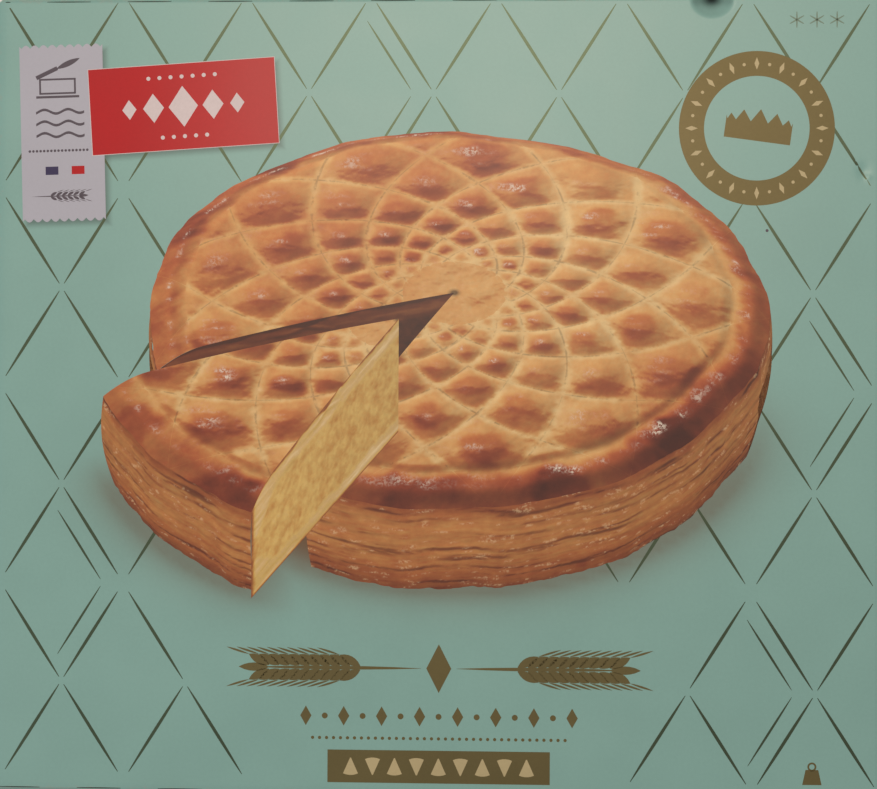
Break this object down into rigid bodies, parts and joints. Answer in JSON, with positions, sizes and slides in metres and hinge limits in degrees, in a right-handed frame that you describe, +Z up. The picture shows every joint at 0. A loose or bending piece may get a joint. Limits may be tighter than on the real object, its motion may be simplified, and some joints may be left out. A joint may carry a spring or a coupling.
{
  "type": "frozen pastry carton",
  "caption": "Flat rectangular folding carton for a round frozen pastry, shut, with glued end flaps and a pushed-in thumb tab; lies with its printed face up.",
  "frame": {"origin": "middle of the underside, on the surface that the carton lies on", "axes": "+X to the right of the printed face, +Y to its top, +Z up out of the printed face"},
  "size_m": [0.3, 0.27, 0.04],
  "materials": {
    "printed_board": "satin varnished folding boxboard, pale mint with gold ink"
  },
  "bodies": {
    "root": {"carton": "printed_board"}
  },
  "joints": []
}
